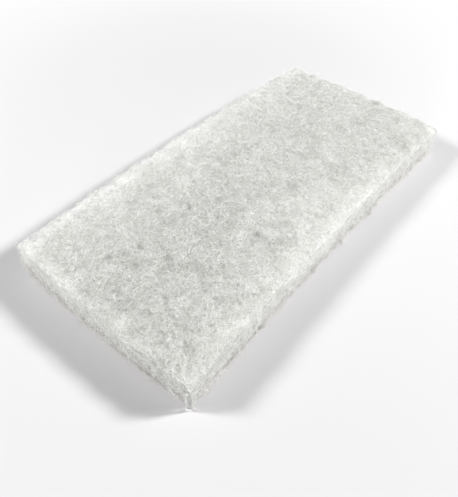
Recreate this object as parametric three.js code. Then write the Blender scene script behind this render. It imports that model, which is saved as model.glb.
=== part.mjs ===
// A hand scrubbing pad: one slab of lofty white fibre web, die-cut to a rectangle.
// Millimetres, +Z up. X runs along the length, and the origin is the centre of the face it rests on.
// The web has no skin or backing. It is thickest in the middle, the cutting die has rolled its upper
// edge over and left its sides bowed, slightly waisted and ragged, and its top is an uneven field of
// tufts and hollows. The underside is pressed flat where the pad rests.

import * as THREE from "three";
import { ImprovedNoise } from "three/addons/math/ImprovedNoise.js";

// Size along the pad's middle lines, over its fullest tufts.
const padLength = 250;
const padWidth = 121;
const padThickness = 22.5;

// Outline left by the cutting die.
const cornerRadius = 2.5;
const longSideBow = 0.5; // how far the middle of a long side stands out past its corners
const shortSideBow = 1.7; // the same on a short side
const sideSweep = 2.8; // how far the ends of the slack web curve away to the front of its middle

// Section of the cut edge.
const shoulderRadius = 3.5; // rolled upper edge
const footRadius = 1.6; // lower edge
const waistDepth = 0.5; // how far the side draws in between shoulder and foot

// Loft of the web.
const edgeFall = 0.6; // thickness lost from the middle to a mid-side, and twice that at a corner
const crownPower = 4; // the higher it is, the flatter the middle and the nearer the fall to the edge
const cloudRelief = 0.6; // depth of the broad swells
const cloudSize = 26; // width of a broad swell
const tuftRelief = 1.4; // depth of the hollows between tufts
const tuftSize = 8; // width of a tuft

// Ragged fibre ends on the cut sides.
const ragDepth = 0.8;
const ragSize = 6;

// Fineness of the mesh.
const webStep = 3.3;
const shoulderSteps = 4;
const wallSteps = 3;
const footSteps = 2;

const halfLength = padLength / 2;
const halfWidth = padWidth / 2;
const cornerSquare = Math.max(cornerRadius, shoulderRadius);
const webNoise = new ImprovedNoise();

// Unevenness of the web at a place, from 0 where it is fullest to 1 where it is thinnest, with bumps
// about one size across.
function unevenness(x, y, z, size) {
  const level = webNoise.noise(x / size, y / size, z / size);
  return THREE.MathUtils.clamp((1 + level) / 2, 0, 1);
}

// Where the mesh lines run across one half-size: close together round the shoulder, then evenly.
function stations(half) {
  const edge = [];
  for (let k = 0; k <= shoulderSteps; k += 1) {
    const turn = (k / shoulderSteps) * (Math.PI / 2);
    edge.push(half - shoulderRadius * (1 - Math.cos(turn)));
  }
  if (cornerSquare > shoulderRadius) edge.push(half - cornerSquare);
  const inner = half - cornerSquare;
  const count = Math.max(2, Math.round((2 * inner) / webStep));
  const middle = [];
  for (let k = 1; k < count; k += 1) middle.push(-inner + (2 * inner * k) / count);
  return [...edge.map((value) => -value), ...middle, ...edge.reverse()];
}

// A place in the corner square, moved along its ray from the square's inner corner onto the rounded
// ring at its depth, with the outward direction there.
function roundedCorner(u, v) {
  const reach = Math.max(u, v);
  const radius = Math.max(cornerRadius - (cornerSquare - reach), 0);
  const core = reach - radius;
  const place = new THREE.Vector2(u, v);
  if (Math.min(u, v) > core) {
    place.normalize();
    const along = core * (place.x + place.y);
    place.multiplyScalar(along + Math.sqrt(along ** 2 - 2 * core ** 2 + radius ** 2));
  }
  const out = new THREE.Vector2(Math.max(place.x - core, 0), Math.max(place.y - core, 0));
  return { place, out: out.normalize() };
}

// A grid place pulled into the rounded, bowed and swept outline, with its depth from the cut edge and
// the outward direction there.
function outlinePoint(x, y) {
  const sides = new THREE.Vector2(Math.sign(x), Math.sign(y));
  const u = Math.max(Math.abs(x) - (halfLength - cornerSquare), 0);
  const v = Math.max(Math.abs(y) - (halfWidth - cornerSquare), 0);
  const { place, out } = roundedCorner(u, v);
  const point = new THREE.Vector2(Math.abs(x) - u + place.x, Math.abs(y) - v + place.y).multiply(sides);
  const share = new THREE.Vector2(point.x / halfLength, point.y / halfWidth);
  point.x -= shortSideBow * share.x * share.y ** 2;
  point.y -= (longSideBow * share.y + sideSweep) * share.x ** 2;
  const depth = Math.min(halfLength - Math.abs(x), halfWidth - Math.abs(y));
  return { point, out: out.multiply(sides), depth };
}

// Height of the top: crowned over the pad, broken into tufts, and rolled down at the cut edge.
function topHeight(point, depth) {
  const lengthShare = Math.abs(point.x) / halfLength;
  const widthShare = Math.abs(point.y) / halfWidth;
  const crown = padThickness - edgeFall * (lengthShare ** crownPower + widthShare ** crownPower);
  const clouds = cloudRelief * unevenness(point.x, point.y, 0, cloudSize);
  const tufts = tuftRelief * unevenness(point.x, point.y, 0, tuftSize);
  const inRoll = Math.max(shoulderRadius - depth, 0);
  const roll = shoulderRadius - Math.sqrt(Math.max(shoulderRadius ** 2 - inRoll ** 2, 0));
  return crown - clouds - tufts - roll;
}

// How far the cut side lies inside the outline at a place, where share is 0 at the foot and 1 at the
// springing line of the shoulder.
function sideInset(point, height, share) {
  const waist = waistDepth * Math.sin(Math.PI * share) ** 2;
  return waist + ragDepth * unevenness(point.x, point.y, height, ragSize);
}

const columns = stations(halfLength);
const rows = stations(halfWidth);
const positions = [];
const faces = [];

function addVertex(place, height) {
  positions.push(place.x, place.y, height);
  return positions.length / 3 - 1;
}

function addQuad(a, b, c, d) {
  faces.push(a, b, c, a, c, d);
}

// Top sheet. Its outermost ring is the springing line of the shoulder, and the roll fades the rags
// of the side into the top.
function topVertex(x, y) {
  const { point, out, depth } = outlinePoint(x, y);
  const height = topHeight(point, depth);
  const inRoll = Math.max(shoulderRadius - depth, 0) / shoulderRadius;
  return addVertex(point.addScaledVector(out, -sideInset(point, height, 1) * inRoll), height);
}

const top = columns.map((x) => rows.map((y) => topVertex(x, y)));
for (let i = 0; i + 1 < columns.length; i += 1) {
  for (let j = 0; j + 1 < rows.length; j += 1) {
    addQuad(top[i][j], top[i + 1][j], top[i + 1][j + 1], top[i][j + 1]);
  }
}

// The outermost ring of grid places, anticlockwise seen from above.
function edgeLoop() {
  const lastColumn = columns.length - 1;
  const lastRow = rows.length - 1;
  const loop = [];
  for (let i = 0; i < lastColumn; i += 1) loop.push([i, 0]);
  for (let j = 0; j < lastRow; j += 1) loop.push([lastColumn, j]);
  for (let i = lastColumn; i > 0; i -= 1) loop.push([i, lastRow]);
  for (let j = lastRow; j > 0; j -= 1) loop.push([0, j]);
  return loop;
}

// The vertices down the cut side below one place of the springing line, to the flat underside.
function sideColumn([i, j]) {
  const { point, out } = outlinePoint(columns[i], rows[j]);
  const springing = positions[top[i][j] * 3 + 2];
  const column = [top[i][j]];
  const descend = (height, share, tuck) => {
    const inset = sideInset(point, height, share) + tuck;
    column.push(addVertex(point.clone().addScaledVector(out, -inset), height));
  };
  for (let k = wallSteps - 1; k > 0; k -= 1) {
    const share = k / wallSteps;
    descend(THREE.MathUtils.lerp(footRadius, springing, share), share, 0);
  }
  for (let k = 0; k <= footSteps; k += 1) {
    const turn = (k / footSteps) * (Math.PI / 2);
    descend(footRadius * (1 - Math.sin(turn)), 0, footRadius * (1 - Math.cos(turn)));
  }
  return column;
}

const side = edgeLoop().map(sideColumn);
side.forEach((column, n) => {
  const next = side[(n + 1) % side.length];
  for (let k = 0; k + 1 < column.length; k += 1) {
    addQuad(column[k + 1], next[k + 1], next[k], column[k]);
  }
});

// Underside, one flat face.
const foot = side.map((column) => column[column.length - 1]);
const footOutline = foot.map((n) => new THREE.Vector2(positions[n * 3], positions[n * 3 + 1]));
THREE.ShapeUtils.triangulateShape(footOutline, []).forEach(([a, b, c]) => {
  faces.push(foot[c], foot[b], foot[a]);
});

const geometry = new THREE.BufferGeometry();
geometry.setAttribute("position", new THREE.Float32BufferAttribute(positions, 3));
geometry.setIndex(faces);
geometry.computeVertexNormals();
geometry.computeBoundingBox();
const middle = geometry.boundingBox.getCenter(new THREE.Vector3());
geometry.translate(-middle.x, -middle.y, 0);

const fibreWeb = new THREE.MeshStandardMaterial({
  color: new THREE.Color().setRGB(0.84, 0.85, 0.82, THREE.SRGBColorSpace),
  roughness: 0.95,
  metalness: 0,
});

const pad = new THREE.Mesh(geometry, fibreWeb);
pad.name = "fibre_pad";

const cleaningPad = new THREE.Group();
cleaningPad.add(pad);

export default cleaningPad;
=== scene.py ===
"""Looks of a white cleaning pad: a slab of lofty fibre web lying on a pale floor."""

import logging
import math
from dataclasses import dataclass, field
from enum import Enum

import bpy
import numpy as np
from mathutils import Matrix, Vector, noise
from mathutils.bvhtree import BVHTree


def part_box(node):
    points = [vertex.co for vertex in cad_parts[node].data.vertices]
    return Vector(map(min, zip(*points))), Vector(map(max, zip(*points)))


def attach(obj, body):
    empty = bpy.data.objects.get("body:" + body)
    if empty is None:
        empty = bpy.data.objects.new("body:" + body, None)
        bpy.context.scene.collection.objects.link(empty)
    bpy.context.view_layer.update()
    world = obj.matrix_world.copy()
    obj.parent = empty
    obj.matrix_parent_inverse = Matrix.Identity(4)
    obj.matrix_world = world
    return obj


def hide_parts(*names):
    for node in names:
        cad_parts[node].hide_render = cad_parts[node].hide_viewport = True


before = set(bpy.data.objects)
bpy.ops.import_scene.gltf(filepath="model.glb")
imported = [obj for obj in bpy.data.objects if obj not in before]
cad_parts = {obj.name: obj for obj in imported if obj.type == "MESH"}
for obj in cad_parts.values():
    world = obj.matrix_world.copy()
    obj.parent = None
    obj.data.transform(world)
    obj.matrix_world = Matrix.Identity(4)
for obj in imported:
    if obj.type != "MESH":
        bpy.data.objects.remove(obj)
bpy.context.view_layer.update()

log = logging.getLogger("cleaning_pad")

MM = 0.001
SLAB = "fibre_pad"
TINY = 1e-12
UP = Vector((0.0, 0.0, 1.0))

Colour = tuple[float, float, float, float]


def linear(red: float, green: float, blue: float) -> Colour:
    """Turns a screen colour into the scene's linear one.

    Args:
        red: Screen red, from 0 to 1.
        green: Screen green, from 0 to 1.
        blue: Screen blue, from 0 to 1.

    Returns:
        The linear colour with full alpha.
    """
    def one(level: float) -> float:
        """Returns one channel without its screen curve."""
        return level / 12.92 if level <= 0.04045 else ((level + 0.055) / 1.055) ** 2.4

    return one(red), one(green), one(blue), 1.0


def between(first: float, last: float, share: float) -> float:
    """Returns the value at a share of the way from the first to the last."""
    return first + (last - first) * share


class Zone(Enum):
    """The parts of the pad's surface that fibres are laid on."""

    TOP = "top"
    SIDES = "sides"
    UNDERSIDE = "underside"

    def holds(self, lean: np.ndarray, steep: float = 0.5) -> np.ndarray:
        """Says which faces lie in this zone.

        Args:
            lean: The upward share of each face's normal, from -1 to 1.
            steep: The share below which a face counts as part of a side.

        Returns:
            True for each face in the zone.
        """
        if self is Zone.TOP:
            return lean > steep
        if self is Zone.UNDERSIDE:
            return lean < -steep
        return np.abs(lean) <= steep


@dataclass(frozen=True)
class Pit:
    """A place on the top where the web is thin and looks dark, its depth also adding painted shade to the
    inner web's colour.
    """

    x: float
    y: float
    radius: float = 1.7 * MM
    stretch: float = 1.0
    depth: float = 1.2 * MM

    def at(self, place: Vector) -> float:
        """Returns the depth of this pit at a place, 0 well away from it."""
        across = math.hypot((place.x - self.x) / self.stretch, place.y - self.y)
        return self.depth * math.exp(-((across / self.radius) ** 2))


@dataclass(frozen=True)
class WebRelief:
    """How deep the web's broken surface lies below the solid's skin."""

    clump: float = 1.8 * MM  # width of a small clump of fibres
    swell: float = 6.5 * MM  # width of a broad one
    clump_depth: float = 0.95 * MM
    swell_depth: float = 0.1 * MM
    wall_share: float = 0.25  # depth on the sides as a share of that on the top
    pits: tuple[Pit, ...] = (
        Pit(-39.5 * MM, -5.5 * MM),
        Pit(-36.5 * MM, -29.0 * MM),
        Pit(-65.0 * MM, -29.0 * MM),
        Pit(-82.0 * MM, 10.5 * MM),
        Pit(-44.5 * MM, 11.0 * MM),
        Pit(35.0 * MM, -11.5 * MM, depth=0.7 * MM),
        Pit(-98.0 * MM, 17.0 * MM, radius=1.2 * MM, stretch=2.6),
    )

    def depth(self, place: Vector, out: Vector) -> float:
        """Gives the depth of the broken surface at a place.

        Args:
            place: A point on the solid's skin.
            out: The outward direction there.

        Returns:
            The depth below the skin, in metres.
        """
        clump = 0.5 - 0.5 * noise.noise(place / self.clump)
        swell = 0.5 - 0.5 * noise.noise(place / self.swell)
        level = abs(out.z)
        depth = clump * self.clump_depth + swell * self.swell_depth
        depth *= level + self.wall_share * (1.0 - level)
        if out.z > 0.0:
            depth += out.z * sum(pit.at(place) for pit in self.pits)
        return depth


class Axis(Enum):
    """The pad's length, along X, and its width, along Y."""

    LENGTH = 0
    WIDTH = 1


class End(Enum):
    """Which of the two sides across an axis."""

    LOW = -1
    HIGH = 1


@dataclass(frozen=True)
class PaintedEdgeLight:
    """Painted light in the web's colour along one cut side, for light that comes in through it, as strong
    at its low end, middle and high end as given.
    """

    axis: Axis
    end: End
    strengths: tuple[float, float, float]
    reach: float

    def at(self, place: Vector, low: Vector, high: Vector) -> float:
        """Gives this side's painted light at a place.

        Args:
            place: A point of the web.
            low: The least corner of the pad.
            high: The greatest corner of the pad.

        Returns:
            The painted light, in tones.
        """
        edge = high if self.end is End.HIGH else low
        across = self.axis.value
        inward = max(self.end.value * (edge[across] - place[across]), 0.0)
        along = 1 - across
        share = (place[along] - low[along]) / (high[along] - low[along])
        strength = float(np.interp(share, (0.0, 0.5, 1.0), self.strengths))
        return strength * math.exp(-inward / self.reach)


@dataclass(frozen=True)
class PaintedWebLight:
    """Painted light and shade over the pad, in the web's colour: lighter along its cut sides, for light let
    in through them, and painted shade where it is thickest.
    """

    edges: tuple[PaintedEdgeLight, ...] = (
        PaintedEdgeLight(Axis.WIDTH, End.HIGH, (0.75, 0.7, 0.5), reach=14.0 * MM),
        PaintedEdgeLight(Axis.WIDTH, End.LOW, (0.1, 0.42, 0.0), reach=22.0 * MM),
        PaintedEdgeLight(Axis.LENGTH, End.LOW, (0.05, 0.25, 0.3), reach=9.0 * MM),
        PaintedEdgeLight(Axis.LENGTH, End.HIGH, (0.0, 0.0, 0.1), reach=8.0 * MM),
    )
    lit_share: float = 0.5  # height, as a share of the pad's, from which the sides' painted light is full
    # painted shade where the web is thickest: its middle, its reach and its strength
    dull_place: tuple[float, float] = (-72.0 * MM, -8.0 * MM)
    dull_reach: tuple[float, float] = (50.0 * MM, 34.0 * MM)
    dull: float = 0.12

    def at(self, place: Vector, low: Vector, high: Vector) -> float:
        """Gives the painted light and shade at a place.

        Args:
            place: A point of the web.
            low: The least corner of the pad.
            high: The greatest corner of the pad.

        Returns:
            The painted light and shade, in tones above or below the open middle.
        """
        raised = min(max(place.z / (self.lit_share * high.z), 0.0), 1.0)
        sides = max(edge.at(place, low, high) for edge in self.edges)
        off = [(place[k] - self.dull_place[k]) / self.dull_reach[k] for k in range(2)]
        return sides * raised - self.dull * math.exp(-off[0] ** 2 - off[1] ** 2)


@dataclass(frozen=True)
class FootShadeAndStain:
    """Painted shade in patches along the foot of the cut sides, darker towards the floor, with a faint warm
    stain.
    """

    # painted shade: the tone taken off where the foot is strongest
    shade: float = 0.55
    height: float = 2.6 * MM
    reach: float = 5.0 * MM
    patch: float = 5.3 * MM
    least: float = 0.02  # strength below which the foot's painted shade and stain are left out

    def at(self, places: np.ndarray, low: Vector, high: Vector) -> np.ndarray:
        """Says how strong the foot's painted shade and stain are.

        Args:
            places: Points of the web, one row each.
            low: The least corner of the pad.
            high: The greatest corner of the pad.

        Returns:
            Their strength at each point, 0 away from the foot.
        """
        inset = np.minimum(places - np.array(low), np.array(high) - places)[:, :2].min(axis=1)
        depth = np.maximum(places[:, 2], 0.0) / self.height + np.maximum(inset, 0.0) / self.reach
        foot_shade_and_stain = np.exp(-depth)
        foot_shade_and_stain[foot_shade_and_stain < self.least] = 0.0
        for k in np.flatnonzero(foot_shade_and_stain):
            foot_shade_and_stain[k] *= 0.5 + noise.noise(Vector(places[k]) / self.patch)
        return np.clip(foot_shade_and_stain, 0.0, 1.0)


@dataclass
class WebSkin:
    """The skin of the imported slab, to lay fibres on and to press the web down from."""

    slab: bpy.types.Object
    relief: WebRelief
    # painted light and shade over the pad, in the web's colour
    glow: PaintedWebLight
    foot: FootShadeAndStain

    def __post_init__(self) -> None:
        """Reads the slab's faces and its box."""
        mesh = self.slab.data
        self.low, self.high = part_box(self.slab.name)
        self.points = np.array([v.co for v in mesh.vertices])
        mesh.calc_loop_triangles()
        self.faces = np.array([t.vertices[:] for t in mesh.loop_triangles])
        self.tree = BVHTree.FromPolygons(self.points.tolist(), self.faces.tolist())

    def nearest(self, place: Vector) -> tuple[Vector, Vector]:
        """Returns the nearest point of the skin and the outward direction there."""
        spot, out, _, _ = self.tree.find_nearest(place)
        return spot, out

    def scatter(self, zone: Zone, count: int, random: np.random.Generator) -> np.ndarray:
        """Picks points spread evenly over a zone.

        Args:
            zone: The part of the skin.
            count: How many points.
            random: The source of chance.

        Returns:
            The points, one row each.
        """
        a, b, c = (self.points[self.faces[:, k]] for k in range(3))
        cross = np.cross(b - a, c - a)
        size = np.linalg.norm(cross, axis=1)
        lean = cross[:, 2] / np.maximum(size, TINY)
        weight = np.where(zone.holds(lean), size, 0.0)
        pick = random.choice(len(size), count, p=weight / weight.sum())
        u, v = random.random((2, count))
        over = u + v > 1.0
        u, v = np.where(over, 1.0 - u, u), np.where(over, 1.0 - v, v)
        return a[pick] + (b - a)[pick] * u[:, None] + (c - a)[pick] * v[:, None]

    def light(self, place: Vector) -> float:
        """Returns the painted light and shade at a place: how much lighter the web's colour is made there
        than in the open middle.
        """
        return self.glow.at(place, self.low, self.high)

    def foot_shade_and_stain(self, places: np.ndarray) -> np.ndarray:
        """Returns how strong the foot's painted shade and stain are at each of the points."""
        return self.foot.at(places, self.low, self.high)


class NodeSheet:
    """The node tree of one material or world, with short ways to add to it."""

    def __init__(self, owner: bpy.types.ID) -> None:
        """Switches nodes on for a material or a world."""
        owner.use_nodes = True
        self.nodes = owner.node_tree.nodes
        self.links = owner.node_tree.links

    def add(self, kind: str, settings: dict | None = None, **inputs: object) -> bpy.types.Node:
        """Adds a node.

        Args:
            kind: The node's type, without the word ShaderNode.
            settings: Properties of the node itself.
            inputs: A number, colour or socket for each input, by name with _ for a space.

        Returns:
            The new node.
        """
        node = self.nodes.new("ShaderNode" + kind)
        for name, value in (settings or {}).items():
            setattr(node, name, value)
        for name, value in inputs.items():
            self.feed(node.inputs[name.replace("_", " ")], value)
        return node

    def feed(self, socket: bpy.types.NodeSocket, value: object) -> None:
        """Gives a socket its number or colour, or links another socket to it."""
        if isinstance(value, bpy.types.NodeSocket):
            self.links.new(value, socket)
        else:
            socket.default_value = value

    def maths(self, operation: str, *values: object) -> bpy.types.NodeSocket:
        """Adds a sum of numbers or sockets.

        Args:
            operation: The kind of sum.
            values: What goes in, in order.

        Returns:
            The socket with the outcome.
        """
        node = self.add("Math", {"operation": operation})
        for socket, value in zip(node.inputs, values):
            self.feed(socket, value)
        return node.outputs["Value"]

    def blend(self, share: object, first: object, second: object, way: str = "MIX") -> bpy.types.NodeSocket:
        """Adds a mix of two colours.

        Args:
            share: How much of the second goes in.
            first: The colour at a share of 0.
            second: The colour at a share of 1.
            way: How the two are mixed.

        Returns:
            The socket with the mixed colour.
        """
        node = self.add("Mix", {"data_type": "RGBA", "blend_type": way}, Factor=share)
        colours = [socket for socket in node.inputs if socket.type == "RGBA"]
        for socket, value in zip(colours, (first, second)):
            self.feed(socket, value)
        return next(socket for socket in node.outputs if socket.type == "RGBA")


def seen_directly(sheet: NodeSheet) -> bpy.types.NodeSocket:
    """Tells what is looked at from what only lights the scene.

    Args:
        sheet: The nodes of a material or world.

    Returns:
        A socket that is 1 for camera, mirrored and refracted rays and 0 for others.
    """
    rays = sheet.add("LightPath").outputs
    seen = sheet.maths("ADD", rays["Is Camera Ray"], rays["Is Glossy Ray"])
    return sheet.maths("MINIMUM", sheet.maths("ADD", seen, rays["Is Transmission Ray"]), 1.0)


@dataclass(frozen=True)
class Threads:
    """Curled threads too small to be modelled, drawn where soft noise crosses its middle level, with
    painted shade in the gaps between them.
    """

    sizes: tuple[float, ...] = (1.15 * MM, 1.65 * MM, 2.3 * MM)
    width: float = 0.055  # how near the noise's middle level a thread reaches
    detail: float = 1.0
    curl: float = 0.8
    rise: float = 0.5 * MM  # height of a thread above a gap
    # painted shade: the colour multiplied in over the gaps between threads
    gap: Colour = (0.45, 0.45, 0.43, 1.0)

    def lines(self, sheet: NodeSheet) -> bpy.types.NodeSocket:
        """Adds the threads' pattern.

        Args:
            sheet: The material's nodes.

        Returns:
            A socket that is 1 on a thread and 0 in a gap.
        """
        place = sheet.add("TexCoord").outputs["Object"]
        lines = None
        for size in self.sizes:
            swirl = sheet.add(
                "TexNoise", Vector=place, Scale=1.0 / size, Detail=self.detail, Distortion=self.curl,
            )
            away = sheet.maths("ABSOLUTE", sheet.maths("SUBTRACT", swirl.outputs["Fac"], 0.5))
            fall = {"interpolation_type": "SMOOTHSTEP"}
            line = sheet.add("MapRange", fall, Value=away, From_Max=self.width, To_Min=1.0, To_Max=0.0)
            line = line.outputs["Result"]
            lines = line if lines is None else sheet.maths("MAXIMUM", lines, line)
        return lines


@dataclass(frozen=True)
class WebFinish:
    """Matt white fibre, whose colour runs from a painted shade deep down to its light in the open, by a
    tone that carries painted light and shade.
    """

    name: str
    # the colour at tone 0, a painted shade, and the white at tone 1
    shade: Colour
    light: Colour
    roughness: float
    shine: float = 0.9
    clear: float = 0.0  # share of the light that passes through a fibre
    glow: float = 0.0  # share of the light that spreads inside the web
    glow_reach: float = 6.0 * MM
    glow_spread: tuple[float, float, float] = (1.0, 1.0, 0.9)
    threads: Threads | None = None
    open_rim: float = 0.8  # how far the painted shade in the gaps between threads gives way where the web is lightest
    stain: Colour = linear(0.985, 0.94, 0.885)

    def material(self) -> bpy.types.Material:
        """Builds the node material, whose colour follows the tone kept in the mesh, with its painted light
        and shade.

        Returns:
            The finished material.
        """
        made = bpy.data.materials.new(self.name)
        sheet = NodeSheet(made)
        shader = sheet.nodes["Principled BSDF"]
        shader.inputs["Roughness"].default_value = self.roughness
        shader.inputs["Specular IOR Level"].default_value = self.shine
        tone = sheet.add("Attribute", {"attribute_name": "tone"}).outputs["Fac"]
        colour = sheet.blend(tone, self.shade, self.light)
        if self.threads:
            lines = self.threads.lines(sheet)
            bump = sheet.add("Bump", Strength=1.0, Distance=self.threads.rise, Height=lines)
            sheet.links.new(bump.outputs["Normal"], shader.inputs["Normal"])
            # painted shade in the gaps between threads, weaker where the tone is high
            closed = sheet.maths("SUBTRACT", 1.0, sheet.maths("MULTIPLY", tone, self.open_rim))
            gaps = sheet.maths("MULTIPLY", sheet.maths("SUBTRACT", 1.0, lines), closed)
            colour = sheet.blend(gaps, colour, self.threads.gap, "MULTIPLY")
        # the faint warm stain along the foot; its painted shade is in the tone
        foot_shade_and_stain = sheet.add("Attribute", {"attribute_name": "foot_shade_and_stain"}).outputs["Fac"]
        colour = sheet.blend(foot_shade_and_stain, colour, self.stain, "MULTIPLY")
        sheet.links.new(colour, shader.inputs["Base Color"])
        if self.glow > 0.0:
            shader.inputs["Subsurface Weight"].default_value = self.glow
            shader.inputs["Subsurface Scale"].default_value = self.glow_reach
            shader.inputs["Subsurface Radius"].default_value = self.glow_spread
        if self.clear > 0.0:
            through = sheet.add("BsdfTranslucent", Color=colour)
            share = sheet.add("MixShader", Fac=self.clear)
            sheet.links.new(shader.outputs["BSDF"], share.inputs[1])
            sheet.links.new(through.outputs["BSDF"], share.inputs[2])
            sheet.links.new(share.outputs["Shader"], sheet.nodes["Material Output"].inputs["Surface"])
        return made


def new_piece(name: str, mesh: bpy.types.Mesh, finish: bpy.types.Material) -> bpy.types.Object:
    """Puts a finished mesh in the scene as a piece of the pad.

    Args:
        name: The piece's name.
        mesh: Its mesh, in the row's frame.
        finish: Its material.

    Returns:
        The piece, riding on the pad's body.
    """
    piece = bpy.data.objects.new(name, mesh)
    bpy.context.scene.collection.objects.link(piece)
    mesh.materials.clear()
    mesh.materials.append(finish)
    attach(piece, "root")
    return piece


def keep(mesh: bpy.types.Mesh, name: str, values: np.ndarray) -> None:
    """Stores a value from 0 to 1 for each vertex, for the finish to read."""
    layer = mesh.attributes.new(name, "FLOAT", "POINT")
    layer.data.foreach_set("value", np.clip(values, 0.0, 1.0).astype(np.float32))


@dataclass
class WebCore:
    """The inner web: the mass of fibres below the loose ones, as one closed broken surface."""

    skin: WebSkin
    voxel: float = 1.25 * MM
    inset: float = 0.8 * MM  # depth of its fullest places below the solid's skin
    rest_height: float = 0.25 * MM
    tone: float = 0.7
    # painted shade in the hollows and pits
    hollow_shade: float = 0.6
    # painted shade on the sides
    wall_shade: float = 0.35
    fill: float = 0.9
    finish: WebFinish = WebFinish(
        "web_core", linear(0.84, 0.84, 0.827), linear(1.0, 1.0, 0.99),
        roughness=0.95, glow=0.9, glow_reach=14.0 * MM, threads=Threads(),
    )

    def remeshed(self) -> bpy.types.Mesh:
        """Makes an even mesh of the slab.

        Returns:
            The slab's form in small square faces.
        """
        copy = bpy.data.objects.new("core_form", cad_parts[SLAB].data.copy())
        bpy.context.scene.collection.objects.link(copy)
        remesh = copy.modifiers.new("even", "REMESH")
        remesh.mode = "VOXEL"
        remesh.voxel_size = self.voxel
        ready = copy.evaluated_get(bpy.context.evaluated_depsgraph_get())
        mesh = bpy.data.meshes.new_from_object(ready)
        bpy.data.objects.remove(copy)
        return mesh

    def build(self) -> bpy.types.Object:
        """Presses the even mesh into tufts and hollows, and dresses it.

        Returns:
            The inner web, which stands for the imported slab.
        """
        mesh = self.remeshed()
        relief = self.skin.relief
        tones = np.empty(len(mesh.vertices))
        pressed = np.empty((len(mesh.vertices), 3), np.float32)
        for k, vertex in enumerate(mesh.vertices):
            place, out = vertex.co, vertex.normal
            depth = relief.depth(place, out)
            spot = place - out * (self.inset + depth)
            spot.z = max(spot.z, self.rest_height)
            pressed[k] = spot
            hollow = depth / (relief.clump_depth + relief.swell_depth)
            # the tone: painted shade in the hollows and on the sides, and the painted light and shade over
            # the pad
            tones[k] = self.tone - self.hollow_shade * hollow + self.skin.light(place)
            tones[k] -= self.wall_shade * (1.0 - abs(out.z))
        mesh.vertices.foreach_set("co", pressed.ravel())
        mesh.update()
        mesh.shade_smooth()
        foot_shade_and_stain = self.skin.foot_shade_and_stain(pressed.astype(float))
        # painted shade along the foot, taken off the tone
        keep(mesh, "tone", tones - self.skin.foot.shade * foot_shade_and_stain)
        keep(mesh, "foot_shade_and_stain", foot_shade_and_stain)
        core = new_piece("web_core", mesh, self.finish.material())
        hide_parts(SLAB)
        return core


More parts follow.
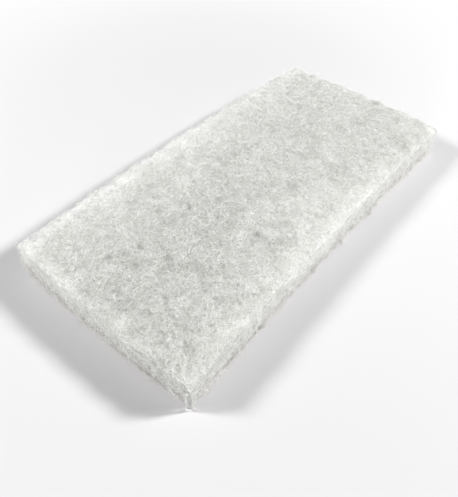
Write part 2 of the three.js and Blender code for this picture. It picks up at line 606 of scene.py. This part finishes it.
@dataclass
class FibreLay:
    """Loose crimped fibres laid on one zone of the web, each a closed tube that tapers at its ends."""

    skin: WebSkin
    name: str
    zone: Zone
    count: int
    seed: int
    segments: int = 8
    sides: int = 3
    step: float = 1.4 * MM  # length of a segment
    least_move: float = 0.1  # share of a step below which a fibre keeps its heading
    thin: float = 0.05 * MM  # radius of the thinnest
    thick: float = 0.16 * MM  # radius of the thickest
    few_thick: float = 3.0  # the higher it is, the fewer are thick
    tip: float = 0.4  # radius at an end as a share of the full one
    taper: float = 3.0  # how fast it grows from there
    curl: float = 26.0  # degrees that a fibre keeps turning at each step, one way
    crimp: float = 34.0  # degrees that it turns besides, either way
    wave: float = 0.35 * MM  # rise and fall along it
    wave_turn: float = 2.1  # radians of that wave at each step
    sunk: float = 0.6 * MM  # depth of the deepest below the skin
    proud: float = 0.4 * MM  # height of the highest above it
    dive: float = 1.0 * MM  # how far the ends tuck in
    dive_power: int = 4
    hug: float = 0.85  # share of the broken surface's depth that a fibre follows
    stray_share: float = 0.08  # share of the fibres with one end loose
    least_stray: float = 0.2
    stray_rise: float = 2.6 * MM  # height of the highest loose end
    stray_power: int = 3
    tone: float = 0.6
    own_tone: float = 0.45  # spread of tone from fibre to fibre
    foot_shade_and_stain_share: float = 1.0  # how far they take the foot's painted shade and stain
    rise_light: float = 0.25  # painted light: tone gained with each millimetre of height
    wall_light: float = 0.35  # painted light: tone gained on the sides
    end_share: float = 0.1  # share of its cell on the baked sheet that each end takes
    finish: WebFinish = WebFinish(
        "fibre", linear(0.87, 0.87, 0.857), linear(1.0, 1.0, 0.992), roughness=0.25, clear=0.4,
    )

    def grow(self) -> tuple[np.ndarray, np.ndarray, np.ndarray]:
        """Lays every fibre along the skin, turning and rising and falling as it goes.

        Returns:
            The fibres' centre lines, the outward directions along them, and their tones.
        """
        random = np.random.default_rng(self.seed)
        roots = self.skin.scatter(self.zone, self.count, random)
        rings = self.segments + 1
        lines = np.empty((self.count, rings, 3))
        outs = np.empty((self.count, rings, 3))
        tones = np.empty((self.count, rings))
        headings = random.uniform(0.0, math.tau, self.count)
        curls = np.radians(random.normal(0.0, self.curl, self.count))
        crimps = np.radians(random.normal(0.0, self.crimp, (self.count, rings)))
        lifts = random.uniform(-self.sunk, self.proud, self.count)
        waves = random.uniform(0.0, math.tau, self.count)
        strays = random.random(self.count) < self.stray_share
        rises = random.uniform(self.least_stray, 1.0, self.count) * self.stray_rise
        own_tones = random.normal(0.0, self.own_tone, self.count)
        relief = self.skin.relief
        for n in range(self.count):
            spot, out = self.skin.nearest(Vector(roots[n]))
            side = out.orthogonal().normalized()
            ahead = Matrix.Rotation(headings[n], 3, out) @ side
            for k in range(rings):
                share = k / self.segments
                level = lifts[n] + self.wave * math.sin(waves[n] + self.wave_turn * k)
                level -= self.dive * (2.0 * share - 1.0) ** self.dive_power
                if strays[n]:
                    level += (rises[n] + self.dive) * share ** self.stray_power
                level -= self.hug * relief.depth(spot, out)
                here = spot + out * level
                lines[n, k] = here
                outs[n, k] = out
                # the tone: each fibre's own random tone, painted light for height and on the sides, and the
                # painted light and shade over the pad
                tone = self.tone + own_tones[n] + self.rise_light * level / MM + self.skin.light(here)
                tones[n, k] = tone + self.wall_light * (1.0 - abs(out.z))
                turn = curls[n] + crimps[n, k]
                ahead = Matrix.Rotation(turn, 3, out) @ ahead
                onward, out = self.skin.nearest(spot + ahead * self.step)
                moved = onward - spot
                if moved.length > self.least_move * self.step:
                    ahead = moved.normalized()
                spot = onward
        return lines, outs, tones

    def tubes(self, lines: np.ndarray, outs: np.ndarray) -> tuple[np.ndarray, np.ndarray, np.ndarray]:
        """Makes closed tubes round the centre lines.

        Args:
            lines: The centre lines.
            outs: The outward directions along them.

        Returns:
            The vertices, the four-sided faces, and the three-sided end faces.
        """
        count, rings, _ = lines.shape
        random = np.random.default_rng(self.seed + 1)
        along = np.gradient(lines, axis=1)
        along /= np.linalg.norm(along, axis=2, keepdims=True) + TINY
        across = np.cross(along, outs)
        across /= np.linalg.norm(across, axis=2, keepdims=True) + TINY
        up = np.cross(across, along)
        thickness = random.random(count) ** self.few_thick
        radius = (self.thin + (self.thick - self.thin) * thickness)[:, None]
        from_end = np.minimum(np.arange(rings), np.arange(rings)[::-1]) / rings
        radius = (radius * np.clip(self.tip + self.taper * from_end, 0.0, 1.0))[..., None]
        circle = [k * math.tau / self.sides for k in range(self.sides)]
        corners = [lines + radius * (math.cos(a) * up + math.sin(a) * across) for a in circle]
        vertices = np.stack(corners, axis=2).reshape(-1, 3)
        first = (np.arange(count) * rings * self.sides)[:, None, None]
        ring = (np.arange(rings - 1) * self.sides)[None, :, None]
        near = np.arange(self.sides)[None, None]
        far = (near + 1) % self.sides
        a, b = first + ring + near, first + ring + far
        quads = np.stack([a, b, b + self.sides, a + self.sides], axis=-1).reshape(-1, 4)
        start = first[:, 0, :] + np.arange(self.sides)[None, ::-1]
        end = first[:, 0, :] + (rings - 1) * self.sides + np.arange(self.sides)[None]
        return vertices, quads, np.concatenate([start, end])

    def chart(self) -> np.ndarray:
        """Gives each fibre a small cell of the baked sheet, with its ends at the two ends of the cell.

        Returns:
            The place on the sheet of each face corner, in the order of the faces.
        """
        cells = math.ceil(math.sqrt(self.count))
        ring, side = np.meshgrid(np.arange(self.segments), np.arange(self.sides), indexing="ij")
        tube = []
        for turn, onward in ((0, 0), (1, 0), (1, 1), (0, 1)):
            along = self.end_share + (1.0 - 2.0 * self.end_share) * (ring + onward) / self.segments
            tube.append(np.stack([(side + turn) / self.sides, along], axis=-1))
        start = np.array([[0.0, 0.0], [1.0, 0.0], [0.5, self.end_share]])
        end = np.array([[0.0, 1.0], [0.5, 1.0 - self.end_share], [1.0, 1.0]])
        fibre = np.arange(self.count)
        cell = np.stack([fibre % cells, fibre // cells], axis=-1)[:, None]
        parts = (np.stack(tube, axis=2).reshape(-1, 2), start, end)
        return np.concatenate([((cell + part[None]) / cells).reshape(-1, 2) for part in parts])

    def build(self) -> bpy.types.Object:
        """Grows the fibres, makes their mesh and dresses it.

        Returns:
            The piece that holds all the fibres of this lay.
        """
        lines, outs, tones = self.grow()
        vertices, quads, ends = self.tubes(lines, outs)
        vertices[:, 2] = np.maximum(vertices[:, 2], 0.0)
        mesh = bpy.data.meshes.new(self.name)
        mesh.vertices.add(len(vertices))
        mesh.vertices.foreach_set("co", vertices.astype(np.float32).ravel())
        corners = np.concatenate([quads.ravel(), ends.ravel()])
        mesh.loops.add(len(corners))
        mesh.loops.foreach_set("vertex_index", corners.astype(np.int32))
        mesh.polygons.add(len(quads) + len(ends))
        four = np.arange(len(quads)) * 4
        three = len(quads) * 4 + np.arange(len(ends)) * 3
        mesh.polygons.foreach_set("loop_start", np.concatenate([four, three]).astype(np.int32))
        mesh.update(calc_edges=True)
        mesh.shade_smooth()
        mesh.uv_layers.new(name="OFBake").data.foreach_set("uv", self.chart().astype(np.float32).ravel())
        foot_shade_and_stain = self.foot_shade_and_stain_share * self.skin.foot_shade_and_stain(lines.reshape(-1, 3))
        # painted shade along the foot, taken off the tone
        keep(mesh, "tone", np.repeat(tones.ravel() - self.skin.foot.shade * foot_shade_and_stain, self.sides))
        keep(mesh, "foot_shade_and_stain", np.repeat(foot_shade_and_stain, self.sides))
        return new_piece(self.name, mesh, self.finish.material())


@dataclass
class CornerTuft(FibreLay):
    """The bright fibres that hang loose from one top corner down to the foot."""

    name: str = "corner_tuft"
    zone: Zone = Zone.SIDES
    count: int = 110
    seed: int = 5
    foot_shade_and_stain_share: float = 0.0
    thick: float = 0.2 * MM
    corner: tuple[float, float] = (-1.0, -1.0)
    spread: float = 4.5 * MM
    top_height: float = 15.0 * MM  # where the highest begins
    least_height: float = 0.35  # where the lowest does, as a share of that
    stand_off: float = 1.2 * MM  # how far they stand off the corner halfway down
    end_stand_off: float = 0.3  # how far at their ends, as a share of that
    drawn: float = 0.95  # share of the spread that is gone at the foot
    least_drawn: float = 0.7
    least_drop: float = 0.9  # share of its height that the shortest falls through
    wander: float = 0.5 * MM  # sway along a fibre
    wander_turn: float = 2.3  # radians of that sway at each segment

    def grow(self) -> tuple[np.ndarray, np.ndarray, np.ndarray]:
        """Hangs the fibres, wide apart at the shoulder and drawn together at the foot.

        Returns:
            The fibres' centre lines, the outward directions along them, and their tones.
        """
        random = np.random.default_rng(self.seed)
        rings = self.segments + 1
        lines = np.empty((self.count, rings, 3))
        outs = np.empty((self.count, rings, 3))
        edge = Vector((self.corner[0] * self.skin.high.x, self.corner[1] * self.skin.high.y, 0.0))
        away = Vector((*self.corner, 0.0)).normalized()
        across = away.cross(UP)
        for n in range(self.count):
            wide, high, long, phase = random.random(4)
            side = (2.0 * wide - 1.0) * self.spread
            height = self.top_height * between(self.least_height, 1.0, high)
            drawn = self.drawn * between(self.least_drawn, 1.0, long)
            drop = between(self.least_drop, 1.0, long)
            for k in range(rings):
                share = k / self.segments
                wander = self.wander * math.sin(phase * math.tau + self.wander_turn * k)
                place = edge + across * (side * (1.0 - drawn * share) + wander)
                place.z = height * (1.0 - drop * share) + self.thick
                spot, out = self.skin.nearest(place)
                lift = self.stand_off * between(self.end_stand_off, 1.0, math.sin(math.pi * share))
                lines[n, k] = spot + (out + away).normalized() * lift
                outs[n, k] = out
        return lines, outs, np.full((self.count, rings), 1.0)


@dataclass(frozen=True)
class FloorFinish:
    """Plain pale floor that is lost in white, away from the pad, where it is looked at."""

    colour: Colour = linear(0.80, 0.796, 0.80)
    roughness: float = 0.9
    near: float = 0.13
    far: float = 0.4

    def material(self) -> bpy.types.Material:
        """Builds the floor's material.

        Returns:
            The finished material.
        """
        made = bpy.data.materials.new("floor")
        sheet = NodeSheet(made)
        shader = sheet.nodes["Principled BSDF"]
        shader.inputs["Base Color"].default_value = self.colour
        shader.inputs["Roughness"].default_value = self.roughness
        shader.inputs["Specular IOR Level"].default_value = 0.0
        place = sheet.add("TexCoord").outputs["Object"]
        away = sheet.add("VectorMath", {"operation": "LENGTH"}, Vector=place).outputs["Value"]
        fall = {"interpolation_type": "SMOOTHSTEP"}
        lost = sheet.add("MapRange", fall, Value=away, From_Min=self.near, From_Max=self.far)
        lost = sheet.maths("MULTIPLY", lost.outputs["Result"], seen_directly(sheet))
        white = sheet.add("Emission", Strength=1.0)
        share = sheet.add("MixShader", Fac=lost)
        sheet.links.new(shader.outputs["BSDF"], share.inputs[1])
        sheet.links.new(white.outputs["Emission"], share.inputs[2])
        sheet.links.new(share.outputs["Shader"], sheet.nodes["Material Output"].inputs["Surface"])
        return made


@dataclass(frozen=True)
class SoftLamp:
    """A soft studio lamp that shines at the pad from far enough to light it evenly."""

    name: str
    azimuth: float
    height: float
    power: float
    colour: tuple[float, float, float] = (1.0, 1.0, 1.0)
    size: float = 0.3
    distance: float = 1.6

    def build(self) -> bpy.types.Object:
        """Hangs the lamp and turns it to the pad.

        Returns:
            The lamp's object.
        """
        lamp = bpy.data.lights.new(self.name, "AREA")
        lamp.shape = "DISK"
        lamp.size = self.size
        lamp.energy = self.power
        lamp.color = self.colour
        made = bpy.data.objects.new(self.name, lamp)
        around, up = math.radians(self.azimuth), math.radians(self.height)
        way = Vector((math.cos(around) * math.cos(up), math.sin(around) * math.cos(up), math.sin(up)))
        made.location = way * self.distance
        made.rotation_euler = way.to_track_quat("Z", "Y").to_euler()
        bpy.context.scene.collection.objects.link(made)
        return made


@dataclass
class Studio:
    """The floor, the lamps, the pale surroundings and the camera."""

    floor_reach: float = 3.0
    floor: FloorFinish = FloorFinish()
    lamps: tuple[SoftLamp, ...] = (
        SoftLamp("right_lamp", azimuth=-45.0, height=36.0, power=25.5, size=0.24, distance=1.3),
        SoftLamp("left_lamp", azimuth=133.0, height=37.0, power=11.8, size=0.26, distance=1.1),
        SoftLamp("front_fill", azimuth=205.0, height=7.0, power=12.5, size=0.44, distance=2.0),
    )
    surround: Colour = (1.0, 1.0, 1.0, 1.0)
    ambient: float = 0.02
    eye: tuple[float, float, float] = (-0.18685, -0.12581, 0.20797)
    aim: tuple[float, float, float] = (-0.05341, -0.02433, 0.02)
    roll: float = 3.17
    focal_share: float = 495.8 / 497.0
    sensor: float = 36.0

    def build_floor(self) -> bpy.types.Object:
        """Returns the floor, which isn't part of the pad."""
        reach = self.floor_reach
        mesh = bpy.data.meshes.new("floor")
        corners = [(-reach, -reach, 0.0), (reach, -reach, 0.0), (reach, reach, 0.0), (-reach, reach, 0.0)]
        mesh.from_pydata(corners, [], [(0, 1, 2, 3)])
        mesh.materials.append(self.floor.material())
        floor = bpy.data.objects.new("floor", mesh)
        bpy.context.scene.collection.objects.link(floor)
        return floor

    def build_surroundings(self) -> bpy.types.World:
        """Makes the sky: white where it is seen, and dim where it lights.

        Returns:
            The scene's world.
        """
        world = bpy.data.worlds.new("surroundings")
        sheet = NodeSheet(world)
        sky = sheet.nodes["Background"]
        strength = sheet.add("MapRange", Value=seen_directly(sheet), To_Min=self.ambient)
        sheet.feed(sky.inputs["Color"], self.surround)
        sheet.feed(sky.inputs["Strength"], strength.outputs["Result"])
        bpy.context.scene.world = world
        return world

    def build_camera(self) -> bpy.types.Object:
        """Returns the camera, at the place and angle that the pad was seen from."""
        data = bpy.data.cameras.new("camera")
        data.sensor_width = self.sensor
        data.lens = self.sensor * self.focal_share
        data.clip_start = 0.005
        camera = bpy.data.objects.new("camera", data)
        look = Vector(self.aim) - Vector(self.eye)
        turn = look.to_track_quat("-Z", "Y").to_matrix()
        turn = turn @ Matrix.Rotation(math.radians(self.roll), 3, "Z")
        camera.matrix_world = Matrix.Translation(self.eye) @ turn.to_4x4()
        bpy.context.scene.collection.objects.link(camera)
        bpy.context.scene.camera = camera
        return camera

    def build(self) -> None:
        """Sets up everything round the pad."""
        self.build_camera()
        self.build_floor()
        self.build_surroundings()
        for lamp in self.lamps:
            lamp.build()
        bpy.context.scene.view_settings.view_transform = "Standard"


@dataclass(frozen=True)
class Crop:
    """How many fibres lie on one zone, and how they lie."""

    lays: int
    count: int
    step: float = 1.4 * MM
    crimp: float = 34.0
    stray_share: float = 0.04


@dataclass
class CleaningPad:
    """The whole pad: the inner web and the loose fibres on its top, sides and underside."""

    relief: WebRelief = WebRelief()
    # painted light and shade over the pad, in the web's colour
    glow: PaintedWebLight = PaintedWebLight()
    foot: FootShadeAndStain = FootShadeAndStain()
    crops: dict[Zone, Crop] = field(default_factory=lambda: {
        Zone.TOP: Crop(3, 3600, step=1.25 * MM, crimp=38.0),
        Zone.SIDES: Crop(2, 2700, step=1.15 * MM, crimp=55.0, stray_share=0.3),
        Zone.UNDERSIDE: Crop(1, 1500, stray_share=0.0),
    })
    first_seed: int = 11

    def build(self) -> list[bpy.types.Object]:
        """Builds and dresses every piece.

        Returns:
            The pieces, in the order they were made.
        """
        skin = WebSkin(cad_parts[SLAB], self.relief, self.glow, self.foot)
        pieces = [WebCore(skin).build()]
        seed = self.first_seed
        for zone, crop in self.crops.items():
            for k in range(crop.lays):
                name = f"{zone.value}_fibres_{k + 1}"
                lay = FibreLay(
                    skin, name, zone, crop.count, seed,
                    step=crop.step, crimp=crop.crimp, stray_share=crop.stray_share,
                )
                pieces.append(lay.build())
                seed += 2
        pieces.append(CornerTuft(skin).build())
        return pieces


def main() -> None:
    """Builds the studio and the pad, and reports each piece."""
    logging.basicConfig(level=logging.INFO, format="%(message)s")
    Studio().build()
    for piece in CleaningPad().build():
        triangles = sum(len(face.vertices) - 2 for face in piece.data.polygons)
        log.info("%s: %d triangles", piece.name, triangles)


if __name__ == "__main__":
    main()
